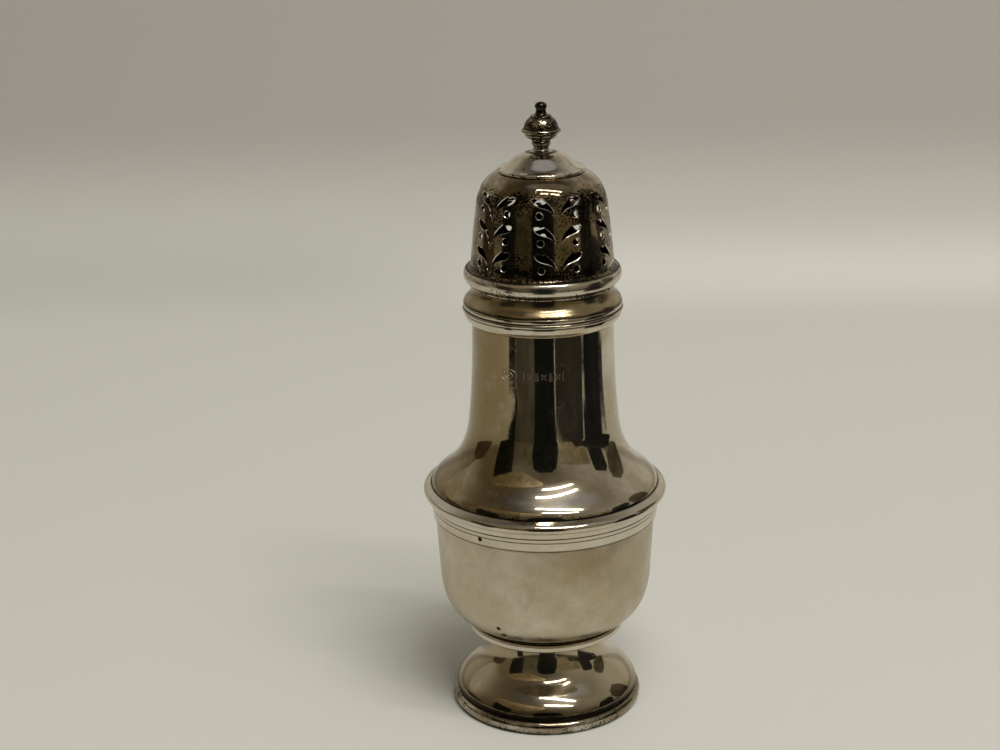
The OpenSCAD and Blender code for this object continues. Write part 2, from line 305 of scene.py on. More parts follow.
class Silver:
    """Old silver on turned work: its toning, haze, specks and grooves, one after another."""

    def __init__(self, name):
        self.f = Finish(name)
        f = self.f
        x, y, z = f.split(f.place)
        flat = f.node("ShaderNodeCombineXYZ", inputs={0: x, 1: y})
        radius = f.node("ShaderNodeVectorMath", {"operation": "LENGTH"}, {0: flat}, output="Value")
        self.side = x
        self.height = z
        self.profile = f.node("ShaderNodeCombineXYZ", inputs={0: radius, 1: z})
        self.broad = f.noise(BROAD, 4, 0.6)
        self.fine = f.noise(FINE, 5, 0.6)
        self.skin = CLEAN
        self.rough = 0.0
        self.mist = 0.0
        self.relief = self.broad * 1.6

    def gap(self, start, place):
        """Millimetres from a place to each point of the surface."""
        inputs = {0: start, 1: Vector(place) * MM}
        apart = self.f.node("ShaderNodeVectorMath", {"operation": "DISTANCE"}, inputs, output="Value")
        return apart * (1 / MM)

    def frayed_gap(self, start, place, fray):
        """The same, uneven by a length."""
        return self.gap(start, place) + (self.fine - 0.5) * fray

    def tone(self, share, start=0.36, end=0.66, side=None, tint=WARM):
        """Toning in clouds. Given two distances to the right, it fades from the first to the second."""
        clouds = (self.broad * 0.65 + self.fine * 0.35).ramp(start, end)
        if side is not None:
            clouds = clouds * (1 - self.side.ramp(side[0] * MM, side[1] * MM))
        self.skin = self.f.blend(clouds * share, self.skin, tint)
        return self

    def haze(self, gloss, share, mist=0.05):
        """The clean metal's roughness, how much the clouds dull it, and a share of softer glow."""
        f = self.f
        rubbed = f.noise(RUBBED, 2, place=f.stretched((30, 30, 1)))
        hairs = f.noise(HAIRS, 2, place=f.stretched((1, 26, 26), HAIR_TURN)).ramp(0.62, 0.74)
        clouds = f.noise(CLOUDS, 5, 0.65).ramp(0.42, 0.68)
        self.rough = gloss + clouds * share + hairs * 0.05 + rubbed.ramp(0.45, 0.75) * 0.03
        self.relief = self.relief + rubbed * 0.05 + hairs * 0.06
        self.mist = mist
        return self

    def specks(self, share, *crowded):
        """Black specks in crowds, thicker over given heights (none, all, how much)."""
        f = self.f
        inputs = {"Vector": f.place, "Scale": 1 / (SPECK * MM)}
        cells = f.node("ShaderNodeTexVoronoi", {}, inputs, output="Distance")
        mottle = f.noise(MOTTLE, 2, 0.6)
        crowd = f.noise(CROWDS, 4, 0.7)
        for none, full, more in crowded:
            crowd = crowd + self.height.ramp(none * MM, full * MM) * more
        level = 1 - 0.2 * share
        spots = (mottle - cells * 0.3 + crowd * 0.9).ramp(level - 0.02, level + 0.02)
        veil = crowd.ramp(0.6 - 0.15 * share, 0.9 - 0.15 * share) * 0.45
        self.skin = f.blend(veil, self.skin, BROWN)
        self.skin = f.blend(spots, self.skin, BLACK)
        self.rough = self.rough + spots * DIRT_ROUGH + veil * 0.04
        self.relief = self.relief - spots * 0.4
        return self

    def groove(self, radius, height, width=0.2, halo=0.7, share=0.5):
        """Black in the bottom of a groove round the piece, and a share of brown beside it. Under the collar,
        above the foot rim and round the finial's stem, the black and brown are partly painted shade.
        """
        gap = self.frayed_gap(self.profile, (radius, height, 0), width)
        line = 1 - gap.ramp(width * 0.45, width)
        beside = 1 - gap.ramp(width, halo)
        self.skin = self.f.blend(beside * share, self.skin, BROWN)
        self.skin = self.f.blend(line, self.skin, BLACK)
        self.rough = self.rough + line * DIRT_ROUGH
        return self

    def pit(self, place, size):
        """A small black pit."""
        inside = 1 - self.gap(self.f.place, place).ramp(size * 0.6, size)
        self.skin = self.f.blend(inside, self.skin, BLACK)
        self.relief = self.relief - inside * 4
        return self

    def stain(self, place, size, share, tint):
        """A soft cloud of toning round one place."""
        gap = self.frayed_gap(self.f.place, place, size)
        self.skin = self.f.blend((1 - gap.ramp(size * 0.2, size)) * share, self.skin, tint)
        return self

    def brushed(self, share, tint=WARM):
        """Fine upright streaks left by wiping."""
        f = self.f
        streaks = f.noise(STREAKS, 3, 0.6, f.stretched((1, 1, 24), STREAK_TURN)).ramp(0.42, 0.66)
        self.skin = f.blend(streaks * self.broad.ramp(0.3, 0.6) * share, self.skin, tint)
        self.rough = self.rough + streaks * 0.03
        return self

    def glow(self, share, none, full):
        """More soft glow from one height to another."""
        self.mist = self.height.ramp(none * MM, full * MM) * share + self.mist
        return self

    def darken(self, share):
        self.skin = self.f.blend(share, self.skin, BLACK)
        return self

    def done(self):
        """The finished material: a clear reflection with a hazier one laid over it."""
        f = self.f
        metal = {"Base Color": self.skin, "Metallic": 1.0, "Normal": f.bump(self.relief, RELIEF_DEPTH)}
        f.feed(f.shader, {**metal, "Roughness": self.rough})
        clear = Value(f, f.shader.outputs[0])
        hazy = f.node("ShaderNodeBsdfPrincipled", {}, {**metal, "Roughness": self.rough + MIST_ROUGH})
        both = f.node("ShaderNodeMixShader", {}, {0: self.mist, 1: clear, 2: hazy})
        f.feed(f.tree.nodes["Material Output"], {"Surface": both})
        return f.material


# Seams from the table upwards

rim_top = high("foot_rim_wire")
collar_z = low("foot_collar")
bowl_z = low("bowl")
girdle_z = low("girdle_wire")
shoulder_z = low("upper_body")
mouth_z = high("upper_body")
skirt_z = low("cover_skirt")
bead_z = low("cover_bead_wire")
dome_z = low("pierced_dome")
cap_z = low("dome_cap")
finial_z = high("dome_cap")
cup_z = low("finial_cup")
crown_z = low("finial_crown")
tip_z = low("finial_tip")
top_z = high("finial_tip")


# Handles of the curved outlines, as shares of the way along them

FOOT_CURVE = [(0.05, 0.0), (-0.289, 0.086), (0.367, 0.373), (0.8, 0.557), (0.877, 0.635)]
FOOT_TOP_CURVE = [(0, 0.5), (0.35, 0.9)]
COLLAR_CURVE = [(0.6, 0.05), (1, 0.45)]
BOWL_CURVE = [(0.62, 0.05), (0.875, 0.22), (0.908, 0.481), (0.946, 0.703), (0.978, 0.823)]
NECK_CURVE = [(0.06, 0.085), (0.7, 0.08), (0.87, 0.34), (0.965, 0.54), (1, 0.71)]
MOUTH_CURVE = [(0.47, 0.15), (0.94, 0.5)]
SKIRT_CURVE = [(0.02, 0.3), (0.98, 0.34)]
DOME_FLARE = [(0.75, 0.1), (1, 0.45)]
DOME_CURVE = [(0.03, 0.08), (0.07, 0.29), (0.19, 0.55), (0.25, 0.76), (0.42, 0.925)]
CAP_CURVE = [(0.4, 0.1), (0.52, 0.98)]
STEM_CURVE = [(0.8, 0.1), (1, 0.5)]
CUP_CURVE = [(0.1, 0.45), (0.75, 0.6)]
CROWN_CURVE = [(0.03, 0.4), (0.5, 0.86)]
TIP_FOOT_CURVE = [(0.75, 0.15), (1, 0.55)]
TIP_CURVE = [(0, 0.35), (1, 0.6)]


# Caster body

RIM_LEDGE = 1
RIM_EASE = 0.9
RIM_START = -58
FOOT_NECK_DROP = 2
FOOT_SEAT = 1.2
COLLAR_LEDGE = 0.5
COLLAR_STEP = 1.4
COLLAR_ROUND = 1.0
BOWL_CORNER_W = 0.2
BOWL_FLOOR_ROUND = 1.5
SEAT = 0.9
BORE_MARGIN = 3
MOUTH_REED = 1.1
MOUTH_REED_W = 0.45


def make_foot_rim():
    foot_r = widest("foot")
    wide = widest("foot_rim_wire")
    bore = foot_r - BODY_SHEET - RIM_LEDGE
    half = rim_top / 2
    edge = arc((foot_r, half), wide - foot_r, half, RIM_START, 90)
    return turned(points((bore, 0), (wide - RIM_EASE, 0)) + edge + points((bore, rim_top)))


def foot_line():
    neck = (FOOT_NECK_R, collar_z - FOOT_NECK_DROP)
    spread = double_curve((widest("foot"), rim_top), neck, FOOT_CURVE)
    return spread + curve(neck, (FOOT_TOP_R, collar_z), FOOT_TOP_CURVE)[1:]


def make_foot():
    line = foot_line()
    inside = [p for p in level_inner(line, BODY_SHEET) if p.y < collar_z]
    return turned(line + points((FOOT_TOP_R - FOOT_SEAT, collar_z)) + inside[::-1])


def make_collar():
    bore = FOOT_TOP_R - BODY_SHEET - COLLAR_LEDGE
    wide = widest("foot_collar")
    under = curve((wide - COLLAR_STEP, collar_z), (wide, collar_z + COLLAR_ROUND), COLLAR_CURVE)
    band = points((wide, bowl_z - 0.4), (wide - 0.3, bowl_z - 0.1), (wide - 0.8, bowl_z), (bore, bowl_z))
    return turned(points((bore, collar_z)) + under + band)


def make_bowl():
    base_r = widest("foot_collar") - COLLAR_STEP
    edge_r = widest("bowl")
    floor_z = bowl_z + BODY_SHEET
    line = double_curve((base_r + BOWL_CORNER_W, bowl_z + SEAT), (edge_r, girdle_z), BOWL_CURVE)
    inside = [p for p in inner(line, BODY_SHEET) if floor_z < p.y < girdle_z]
    edge = points((edge_r, shoulder_z), (edge_r - BODY_SHEET, shoulder_z))
    floor = points((base_r - BOWL_FLOOR_ROUND, floor_z), (0, floor_z))
    return turned(points((0, bowl_z), (base_r, bowl_z)) + line + edge + inside[::-1] + floor)


def girdle_steps():
    """Radius and top of the girdle's two lower bands."""
    inner_r = widest("bowl")
    proud = widest("girdle_wire") - inner_r
    tall = shoulder_z - girdle_z
    return (inner_r + proud * 0.36, girdle_z + tall * 0.43), (inner_r + proud * 0.58, girdle_z + tall * 0.66)


def make_girdle():
    bore = widest("bowl") + SOLDER_GAP
    wide = widest("girdle_wire")
    (low_r, low_z), (high_r, high_z) = girdle_steps()
    lean = 0.4
    tuck = 0.3
    ease = 0.2
    bold = 1.25
    bands = points((bore, girdle_z), (low_r - lean, girdle_z), (low_r, low_z - ease), (low_r - tuck, low_z),
                   (high_r - lean, low_z + ease), (high_r, high_z - ease), (high_r - tuck, high_z))
    rounded = arc((wide - bold, high_z + 0.86 * bold), bold, bold, -60, 61)
    seam = points((widest("upper_body") + 0.1, shoulder_z), (bore, shoulder_z))
    return turned(bands + rounded + seam, soft_edge=0.06)


def neck_line():
    return double_curve((widest("upper_body"), shoulder_z), (MOUTH_R, mouth_z), NECK_CURVE)


def make_upper_body():
    line = neck_line()
    bore = MOUTH_R - BODY_SHEET
    bore_z = low("bezel") - BORE_MARGIN
    seat_r = widest("bowl") - BODY_SHEET + 0.1
    seat_z = shoulder_z + SEAT
    inside = [p for p in inner(line, BODY_SHEET) if seat_z < p.y < bore_z and p.x > bore]
    return turned(line + points((bore, mouth_z), (bore, bore_z)) + inside[::-1]
                  + points((seat_r, seat_z), (seat_r, shoulder_z)))


def make_mouth_wire():
    bore = MOUTH_R + 0.15
    foot = low("mouth_wire")
    wide = widest("mouth_wire")
    half = MOUTH_REED / 2
    flare = curve((MOUTH_R + 0.45, foot), (wide - 0.3, mouth_z - MOUTH_REED), MOUTH_CURVE)
    reed = arc((wide - MOUTH_REED_W, mouth_z - half), MOUTH_REED_W, half, -80, 90)
    return turned(points((bore, foot)) + flare + reed + points((bore, mouth_z)), soft_edge=FINE_EDGE)


# Cover

COVER_REED_W = 0.4
BEAD_REED = 0.43
BEAD_W = 1.5
BEAD_FOOT = 85
BEAD_TOP = 59
DOME_FLARE_H = 1.8
DOME_LEDGE = 1.6


def make_bezel():
    wide = widest("bezel")
    thin = wide - COVER_SHEET
    foot = low("bezel")
    top = high("bezel")
    return turned(points((wide, foot), (wide, top), (thin, top), (thin, foot)))


def make_cover_rim():
    bore = widest("bezel") + SOLDER_GAP
    half = (skirt_z - mouth_z) / 2
    reed = arc((widest("cover_rim_wire") - COVER_REED_W, mouth_z + half), COVER_REED_W, half, -90, 90)
    return turned(points((bore, mouth_z)) + reed + points((bore, skirt_z)))


def make_skirt():
    line = curve((widest("cover_skirt"), skirt_z), (WAIST_R, bead_z), SKIRT_CURVE)
    return turned(line + level_inner(line, COVER_SHEET)[::-1])


def make_bead():
    bore = WAIST_R - COVER_SHEET
    above = math.sin(math.radians(BEAD_TOP))
    below = math.sin(math.radians(BEAD_FOOT))
    half = (dome_z - bead_z - 2 * BEAD_REED) / (above + below)
    reed = arc((WAIST_R + 0.2, bead_z + BEAD_REED), BEAD_REED, BEAD_REED, -90, 90)
    centre = (widest("cover_bead_wire") - BEAD_W, dome_z - half * above)
    bold = arc(centre, BEAD_W, half, -BEAD_FOOT, BEAD_TOP)
    return turned(points((bore, bead_z)) + reed + bold + points((bore, dome_z)), soft_edge=FINE_EDGE)


def dome_line():
    wall = (WAIST_R, dome_z + DOME_FLARE_H)
    flare = curve((widest("pierced_dome"), dome_z), wall, DOME_FLARE)
    return flare + double_curve(wall, (widest("dome_cap") + 0.15, cap_z), DOME_CURVE)[1:]


CUT_EDGE_FINISH = 1
# Inside faces of the dome and the deep walls of its holes take a finish painted dark: painted shade.
INSIDE_SHADE_FINISH = 2


def make_dome_shell():
    line = dome_line()
    ledge_r = line[-1].x - DOME_LEDGE
    under = cap_z - COVER_SHEET
    inside = [p for p in inner(line, COVER_SHEET) if dome_z < p.y < under]
    ledge = points((ledge_r, cap_z), (ledge_r, under))
    foot = points((WAIST_R - COVER_SHEET, dome_z))
    bm = turned(line + ledge + inside[::-1] + foot, steps=DOME_STEPS, soft_edge=0)
    for face in bm.faces:
        if face.normal.xy.dot(face.calc_center_median().xy) < 0:
            face.material_index = INSIDE_SHADE_FINISH
    return bm


PANELS = 6
PANEL_TURN = 13.5
ROWS = 3
ROW_PITCH = 6.8
FIRST_ROW = 3.2
LEAF_W = 5.2
LEAF_H = 4.1
LEAF_GAP = 1.0
DOT_R = 0.85
DOT_OFFSET = 4.6
CUT_EDGE = 0.15


def leaf_outline():
    """One pierced leaf, its tail at the origin, leaning to the right."""
    under = bezier((0, 0), (0.17, 0.63), (0.88, 0.29), (1, 0.91), 14)
    brow = bezier((1, 0.91), (0.96, 1.02), (0.78, 1.04), (0.66, 0.93), 6)[1:]
    back = bezier((0.5, 1), (0.23, 0.68), (-0.06, 0.39), (0, 0), 12)[:-1]
    return [Vector((p.x * LEAF_W, p.y * LEAF_H)) for p in under + brow + back]


def dot_outline():
    return [p * DOT_R for p in arc((0, 0), 1, 1, 0, 360)[:-1]]


def grown(outline, by):
    """The outline with every side moved outwards."""
    moved = []
    for i, point in enumerate(outline):
        along = (outline[(i + 1) % len(outline)] - outline[i - 1]).normalized()
        moved.append(point + by * Vector((along.y, -along.x)))
    return moved


def wrap(line, turn, u, height, lift):
    """A point laid on a turned surface: u along the round, lift out of the face."""
    radius, out = on_line(line, height)
    angle = math.radians(turn) + u / radius
    radius += lift * out.x
    return Vector((radius * math.sin(angle), -radius * math.cos(angle), height + lift * out.y)) * MM


def add_cutter(bm, outline, levels, lay):
    """A closed plug of the outline through levels of (lift, growth), laid on a surface."""
    loops = []
    for lift, growth in levels:
        ring = [bm.verts.new(lay(p.x, p.y, lift)) for p in grown(outline, growth)]
        loops.append([bm.edges.new(pair) for pair in zip(ring, ring[1:] + ring[:1])])
        if lift in (levels[0][0], levels[-1][0]):
            bm.faces.new(ring)
    for lower, upper in zip(loops, loops[1:]):
        sides = bmesh.ops.bridge_loops(bm, edges=lower + upper)["faces"]
        for face in sides:
            face.material_index = CUT_EDGE_FINISH if upper is loops[-1] else INSIDE_SHADE_FINISH


def stroke(path, widths):
    """Outline of a graver's cut along a path."""
    left, right = [], []
    for i, (point, width) in enumerate(zip(path, widths)):
        along = (path[min(i + 1, len(path) - 1)] - path[max(i - 1, 0)]).normalized()
        across = Vector((along.y, -along.x)) * (width / 2)
        right.append(point + across)
        left.append(point - across)
    return right + left[::-1]


STALK_STEPS = 8
STALK_W = 0.34
STALK_TAPER = 0.02


def stem_outline():
    """The engraved stalk that runs down from a leaf's tail beside the panel's middle."""
    path = bezier((0.78, -0.62), (0.42, -0.9), (0.22, -1.5), (0.2, -2.5), STALK_STEPS)
    return stroke(path, [STALK_W - STALK_TAPER * i for i in range(STALK_STEPS + 1)])


PIERCED = [(-1.3, 0), (-CUT_EDGE, 0), (CUT_EDGE, 2 * CUT_EDGE)]
ENGRAVED = [(-0.1, -0.04), (0.1, 0.06)]


def piercing_cutters():
    bm = bmesh.new()
    line = dome_line()
    cuts = [(leaf_outline(), LEAF_GAP, PIERCED), (dot_outline(), DOT_OFFSET, PIERCED),
            (stem_outline(), 0, ENGRAVED)]
    for panel in range(PANELS):
        turn = PANEL_TURN + panel * 360 / PANELS
        for row in range(ROWS):
            height = dome_z + FIRST_ROW + row * ROW_PITCH
            for side in (1, -1):
                for outline, across, levels in cuts:
                    def lay(u, v, lift):
                        return wrap(line, turn, side * (across + u), height + v, lift)

                    add_cutter(bm, outline, levels, lay)
    bmesh.ops.recalc_face_normals(bm, faces=bm.faces)
    return bm


# Blank struck marks on the neck: three squares and an oval, each with a lozenge in it

MARK_Z = 98.2
MARK_W = 3.0
MARK_H = 3.1
MARK_TURNS = (-10.5, 0.2, 10.8)
OVAL_TURN = -27.7
OVAL_W = 4.4
STRUCK = [(-0.2, -0.12), (0.12, 0.05)]
STRUCK_W = 0.34
MARK_DOT_R = 0.22
LOZENGE = 0.6
FRAME_GAP = 0.14
LOZENGE_GAP = 0.3
OVAL_STARTS = (4, 94, 184, 274)
OVAL_CUT = 82
OVAL_LOZENGE = 0.28


def mark_dot():
    return [p * MARK_DOT_R for p in arc((0, 0), 1, 1, 0, 360)[:-2:2]]


def straight_cut(a, b):
    return stroke([a, a.lerp(b, 0.5), b], [STRUCK_W] * 3)


def cut_sides(corners, gap):
    """Fine cuts along the sides of a shape, each short of the corners by a share."""
    sides = zip(corners, corners[1:] + corners[:1])
    return [straight_cut(a.lerp(b, gap), a.lerp(b, 1 - gap)) for a, b in sides]


def mark_outlines(width, height):
    """Fine cuts for a frame and, inside it, a lozenge with a dot."""
    w = width / 2
    h = height / 2
    square = points((w, h), (-w, h), (-w, -h), (w, -h))
    lozenge = [p * LOZENGE for p in points((w, 0), (0, h), (-w, 0), (0, -h))]
    return [mark_dot()] + cut_sides(square, FRAME_GAP) + cut_sides(lozenge, LOZENGE_GAP)


def oval_outlines(width, height):
    """The same in an oval frame."""
    outlines = [mark_dot()]
    for start in OVAL_STARTS:
        rounded = arc((0, 0), width / 2, height / 2, start, start + OVAL_CUT)[::2]
        outlines.append(stroke(rounded, [STRUCK_W] * len(rounded)))
        tips = arc((0, 0), width * OVAL_LOZENGE, height * OVAL_LOZENGE, start + 6, start + 76)
        outlines.append(straight_cut(tips[0], tips[-1]))
    return outlines


def mark_cutters():
    bm = bmesh.new()
    line = neck_line()
    for turn in (*MARK_TURNS, OVAL_TURN):
        def lay(u, v, lift):
            return wrap(line, turn, u, MARK_Z + v, lift)

        outlines = oval_outlines(OVAL_W, MARK_H) if turn == OVAL_TURN else mark_outlines(MARK_W, MARK_H)
        for outline in outlines:
            add_cutter(bm, outline, STRUCK, lay)
    bmesh.ops.recalc_face_normals(bm, faces=bm.faces)
    return bm


def cut(made, cutters):
    """Takes the cutters out of a piece, and leaves the result in its mesh."""
    tool = make_object(made.name + "_cutters", cutters)
    for finish in made.data.materials:
        tool.data.materials.append(finish)
    modifier = made.modifiers.new("cut", "BOOLEAN")
    modifier.operation = "DIFFERENCE"
    modifier.solver = "EXACT"
    modifier.object = tool
    graph = bpy.context.evaluated_depsgraph_get()
    result = bpy.data.meshes.new_from_object(made.evaluated_get(graph))
    made.modifiers.clear()
    made.data = result
    bpy.data.objects.remove(tool)
    result.shade_smooth()
    result.set_sharp_from_angle(angle=CUT_CORNER)


def make_cap():
    edge_r = widest("dome_cap")
    roll = 0.5
    hole = 1.3
    under = finial_z - COVER_SHEET
    line = curve((edge_r - roll / 2, cap_z + 2 * roll - 0.05), (CAP_TOP_R, finial_z), CAP_CURVE)
    inside = [p for p in inner(line, COVER_SHEET) if p.y < under and p.x < edge_r - 2 * roll]
    edge = arc((edge_r - roll, cap_z + roll), roll, roll, -90, 60)
    top = points((hole, finial_z), (hole, under), (CAP_TOP_R - COVER_SHEET / 2, under))
    foot = points((edge_r - 2 * roll, cap_z))
    return turned(edge + line + top + inside[::-1] + foot, soft_edge=FINE_EDGE)


def make_stem():
    foot_r = widest("finial_stem")
    tang_z = low("finial_stem")
    tang = 1.2
    waist_r = foot_r - 0.95
    reed = 0.45
    foot = points((0, tang_z), (tang, tang_z), (tang, finial_z), (foot_r, finial_z))
    spool = curve((foot_r, finial_z + 0.2), (waist_r, finial_z + 1.2), STEM_CURVE)
    waist = points((waist_r, cup_z - 2 * reed))
    rounded = arc((foot_r - 0.85, cup_z - reed), 0.42, reed, -90, 90)
    return turned(foot + spool + waist + rounded + points((0, cup_z)), steps=SMALL_STEPS, soft_edge=FINE_EDGE)


def make_cup():
    reed = 0.4
    knop = widest("finial_crown")
    bell = curve((widest("finial_stem") - 0.5, cup_z), (knop - 1, crown_z - 2 * reed), CUP_CURVE)
    rounded = arc((knop - 1.15, crown_z - reed), reed, reed, -80, 90)
    return turned(points((0, cup_z)) + bell + rounded + points((0, crown_z)),
                  steps=KNOP_STEPS, soft_edge=FINE_EDGE)


def make_crown():
    bead = 0.6
    ring = 0.3
    base = widest("finial_crown") - bead
    rounded = arc((base, crown_z + bead), bead, bead, -90, 80)
    bell = curve((base, crown_z + 2 * bead), (TIP_R + 1.3, tip_z - 2 * ring), CROWN_CURVE)
    top = arc((TIP_R + 0.8, tip_z - ring), ring, ring, -80, 90)
    return turned(points((0, crown_z)) + rounded + bell + top + points((0, tip_z)),
                  steps=KNOP_STEPS, soft_edge=FINE_EDGE)


def make_tip():
    button = 1.1
    waist = (TIP_R - 0.25, tip_z + 1.25)
    foot = curve((TIP_R + 0.45, tip_z), waist, TIP_FOOT_CURVE)
    swell = curve(waist, (TIP_R, top_z - button), TIP_CURVE)[1:]
    ball = arc((0, top_z - button), TIP_R, button, 0, 90)[1:]
    return turned(points((0, tip_z)) + foot + swell + ball, steps=SMALL_STEPS, soft_edge=FINE_EDGE)


# Pieces with their finishes

def dress(made, body, node):
    """Puts a finished piece in the place of its node."""
    even_shading(made)
    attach(made, body)
    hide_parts(node)


def plain_piece(node, body, mesh, finish):
    made = make_object("silver_" + node, mesh)
    made.data.materials.append(finish.done())
    dress(made, body, node)


def cut_piece(node, body, mesh, cutters, finishes):
    made = make_object("silver_" + node, mesh)
    for finish in finishes:
        made.data.materials.append(finish.done())
    cut(made, cutters)
    dress(made, body, node)


BODY = "caster_body"
COVER = "cover"
THICK = 0.16
BARE = -0.3
rim_r = widest("foot")
collar_r = widest("foot_collar")
bowl_r = widest("bowl")
shoulder_r = widest("upper_body")
mouth_r = widest("mouth_wire")
skirt_r = widest("cover_skirt")
dome_r = widest("pierced_dome")
low_band, high_band = girdle_steps()

plain_piece("foot_rim_wire", BODY, make_foot_rim(),
            Silver("rim_silver").tone(0.8).tone(0.6, 0.3, 0.55, tint=BROWN).haze(0.08, 0.12)
            .specks(0.35, (1.9, 0.5, THICK)).groove(rim_r, rim_top, 0.3, 1.2))
plain_piece("foot", BODY, make_foot(),
            Silver("foot_silver").tone(0.75, 0.2, 0.5).tone(0.45, 0.2, 0.5, (-12, 2), GOLD)
            # Black joint line above the rim with a wide brown band over the foot's low bulge: the band is
            # painted shade that stands in for a dark reflection there.
            .haze(0.025, 0.05, 0.1).groove(rim_r + 0.4, rim_top + 0.9, 1.1, 3.8, 0.75)
            # Painted shade: a dark line and a wide brown band on the top of the foot, where the collar shades
            # it.
            .groove(FOOT_TOP_R - 2, collar_z, 1.2, 5.2, 0.65))
plain_piece("foot_collar", BODY, make_collar(),
            Silver("collar_silver").tone(0.5).haze(0.08, 0.1)
            # The first groove darks the collar's lower step and underside: partly a dark joint and partly
            # painted shade under the collar.
            .groove(collar_r - COLLAR_STEP, collar_z, 0.6, 1.5).groove(collar_r - 1.0, bowl_z, 0.2, 0.5))
plain_piece("bowl", BODY, make_bowl(),
            Silver("bowl_silver").tone(0.5, 0.2, 0.65).tone(0.5, 0.2, 0.65, (2, -14))
            .stain((11, -27, 52), 13, 0.7, GOLD).stain((24, -16, 46), 14, 0.5, WARM)
            .haze(0.26, 0.14).brushed(0.65).groove(bowl_r, girdle_z, 0.22, 0.8)
            .groove(collar_r - 1.3, bowl_z + 0.3, 0.2, 1.4)
            .pit((-12.4, -23.84, 30.75), 0.8).pit((-10.95, -23.15, 28.5), 0.85))
plain_piece("girdle_wire", BODY, make_girdle(),
            Silver("girdle_silver").tone(0.5).haze(0.08, 0.1)
            .groove(low_band[0] - 0.4, girdle_z, 0.25, 0.5)
            .groove(low_band[0] - 0.1, low_band[1] - 1.2, 0.1, 0.3)
            .groove(low_band[0] - 0.3, low_band[1], 0.2, 0.45)
            .groove(high_band[0] - 0.3, high_band[1], 0.35, 0.7)
            .groove(shoulder_r, shoulder_z, 0.3, 0.6)
            .pit((-16.7, -25.3, 56.8), 0.8))
cut_piece("upper_body", BODY, make_upper_body(), mark_cutters(),
          [Silver("neck_silver").tone(0.6, 0.3, 0.6).tone(0.95, 0.15, 0.5, (-11, -4), GOLD)
           .haze(0.02, 0.04, 0.02).brushed(0.75, GOLD).glow(0.16, shoulder_z + 12, shoulder_z + 5)
           .specks(-0.5, (shoulder_z + 2.0, shoulder_z + 0.5, THICK)).groove(shoulder_r, shoulder_z, 0.35)
           .groove(MOUTH_R, low("mouth_wire"), 0.2, 0.5),
           Silver("mark_silver").haze(0.3, 0.1)])
plain_piece("mouth_wire", BODY, make_mouth_wire(),
            Silver("mouth_silver").tone(0.7).haze(0.07, 0.12)
            .groove(mouth_r - 0.35, mouth_z - MOUTH_REED, 0.18, 0.45)
            .groove(mouth_r - MOUTH_REED_W, mouth_z, 0.35, 0.6))
plain_piece("bezel", COVER, make_bezel(), Silver("bezel_silver").tone(0.6).haze(0.18, 0.2))
plain_piece("cover_rim_wire", COVER, make_cover_rim(),
            Silver("cover_rim_silver").tone(0.8).haze(0.08, 0.12)
            .groove(widest("cover_rim_wire") - COVER_REED_W, mouth_z, 0.35, 0.6)
            .groove(skirt_r, skirt_z, 0.2, 0.5))
plain_piece("cover_skirt", COVER, make_skirt(),
            Silver("skirt_silver").tone(1.0, 0.1, 0.4).tone(0.9, 0.3, 0.6, tint=GOLD).haze(0.15, 0.1, 0.1)
            .groove(skirt_r, skirt_z, 0.2).groove(WAIST_R, bead_z, 0.3, 1.2))
plain_piece("cover_bead_wire", COVER, make_bead(),
            Silver("bead_silver").tone(0.9).haze(0.13, 0.1, 0.1)
            .specks(0.05, (dome_z - 2, bead_z + 0.8, THICK))
            .groove(WAIST_R + 0.4, bead_z + 2 * BEAD_REED, 0.25, 0.6).groove(dome_r, dome_z, 0.25, 0.5))
cut_piece("pierced_dome", COVER, make_dome_shell(), piercing_cutters(),
          [Silver("dome_silver").tone(0.9, 0.2, 0.5).tone(0.75, 0.3, 0.6, tint=GOLD)
           .tone(0.7, 0.3, 0.6, tint=BROWN).haze(0.045, 0.06)
           .specks(0.45, (dome_z + 15.5, dome_z + 19, THICK), (dome_z + 21.5, dome_z + 23, BARE),
                   (dome_z + 4.5, dome_z + 2.5, THICK))
           .groove(dome_r, dome_z, 0.25, 0.5),
           Silver("cut_edge_silver").haze(0.2, 0.1),
           # Warm toning, then painted nine tenths of the way to black as painted shade for the dark inside of
           # the dome.
           Silver("dome_inside_tarnish_and_shade").tone(1.0, 0.1, 0.4).haze(0.35, 0.2).darken(0.9)])
plain_piece("dome_cap", COVER, make_cap(),
            Silver("cap_silver").tone(0.6).haze(0.04, 0.06).specks(-0.2, (cap_z + 1.8, cap_z + 0.6, THICK))
            # A black ring with a brown edge on the cap's top round the stem's foot: partly a dark joint and
            # partly painted contact shadow.
            .groove(widest("finial_stem") + 0.3, finial_z, 1.0, 1.5))
plain_piece("finial_stem", COVER, make_stem(),
            Silver("stem_silver").tone(0.7).tone(0.6, 0.3, 0.6, tint=BROWN).haze(0.07, 0.1)
            .groove(2.0, cup_z - 0.95, 0.2, 0.5))
plain_piece("finial_cup", COVER, make_cup(),
            Silver("cup_silver").tone(0.6).tone(0.5, 0.3, 0.6, tint=BROWN).haze(0.06, 0.1)
            .groove(2.45, cup_z, 0.2, 0.4).groove(4.0, crown_z - 0.8, 0.2, 0.4))
plain_piece("finial_crown", COVER, make_crown(),
            Silver("crown_silver").tone(0.7, 0.2, 0.5).tone(0.6, 0.3, 0.6, tint=BROWN).haze(0.06, 0.1)
            .specks(0.8, (crown_z + 1.0, crown_z + 1.6, THICK))
            .groove(4.4, crown_z, 0.2, 0.4).groove(4.4, crown_z + 1.2, 0.2, 0.4))
plain_piece("finial_tip", COVER, make_tip(),
            Silver("tip_silver").tone(0.6).haze(0.05, 0.08).specks(0.4).darken(0.96))
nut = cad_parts["finial_nut"]
nut.data.materials.clear()
